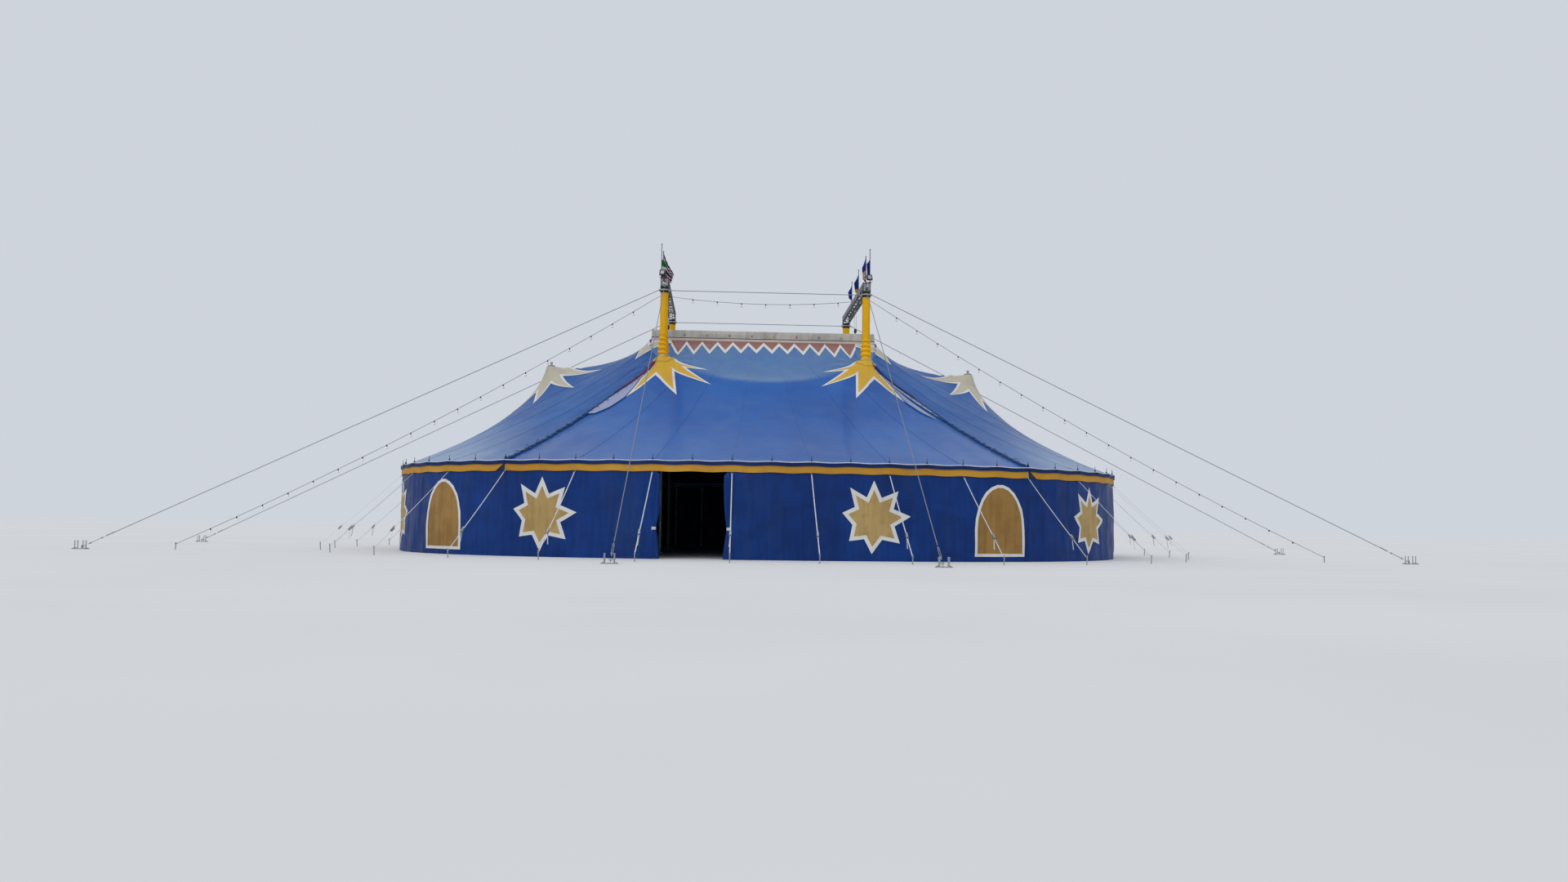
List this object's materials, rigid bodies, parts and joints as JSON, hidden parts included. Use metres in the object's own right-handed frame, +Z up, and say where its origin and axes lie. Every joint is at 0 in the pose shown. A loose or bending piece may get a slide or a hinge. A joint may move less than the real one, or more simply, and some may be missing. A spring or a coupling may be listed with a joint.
{
  "type": "four-mast circus big top tent, scale model at 1:2",
  "caption": "Circus big top: laced blue cloth roof with stars, hung from sleeved masts under a hoisted cupola, closed by round side walls with a doorway, and held by stays and guy straps.",
  "frame": {"origin": "on the ground at the centre of the tent, midway between the masts", "axes": "+Z up, +X along the long side to the right as seen from the entrance side, +Y to the back"},
  "size_m": [32.8, 20.18, 7.625],
  "materials": {
    "canopy": "coated PVC roof cloth, satin, deep blue",
    "wall": "coated PVC wall cloth, satin, dark blue",
    "yellow": "coated PVC cloth, golden yellow",
    "cover": "weathered white coated cloth",
    "webbing": "white polyester webbing",
    "flag": "light woven flag cloth",
    "steel": "galvanised steel",
    "dark": "dark grey painted steel",
    "cord": "dark rubber lamp cable"
  },
  "bodies": {
    "root": {"canopy_back": "canopy", "canopy_front": "canopy", "canopy_left": "canopy", "canopy_right": "canopy", "cupola_cover": "cover", "cupola_frame": "steel", "doorway_cable": "steel", "flag_left_1": "flag", "flag_left_2": "flag", "flag_left_3": "flag", "flag_left_4": "flag", "flag_right_1": "flag", "flag_right_2": "flag", "flag_right_3": "flag", "flag_right_4": "flag", "floodlight_left": "dark", "floodlight_right": "dark", "garland_front": "cord", "garland_left": "cord", "garland_right": "cord", "guy_straps_back": "webbing", "guy_straps_front": "webbing", "header_truss_left": "dark", "header_truss_right": "dark", "hoist_left": "steel", "hoist_right": "steel", "king_pole_back_left": "steel", "king_pole_back_right": "steel", "king_pole_front_left": "steel", "king_pole_front_right": "steel", "mast_head_back_left": "dark", "mast_head_back_right": "dark", "mast_head_front_left": "dark", "mast_head_front_right": "dark", "mast_sleeve_back_left": "yellow", "mast_sleeve_back_right": "yellow", "mast_sleeve_front_left": "yellow", "mast_sleeve_front_right": "yellow", "mast_stays_back_left": "steel", "mast_stays_back_right": "steel", "mast_stays_front_left": "steel", "mast_stays_front_right": "steel", "mast_tie_back": "steel", "mast_tie_front": "steel", "quarter_pole_left": "steel", "quarter_pole_right": "steel", "side_poles_back": "steel", "side_poles_front_left": "steel", "side_poles_front_right": "steel", "side_poles_left": "steel", "side_poles_right": "steel", "valance_back": "yellow", "valance_front": "yellow", "wall_back": "wall", "wall_front_left": "wall", "wall_front_right": "wall", "wall_left": "wall", "wall_right": "wall"}
  },
  "joints": []
}
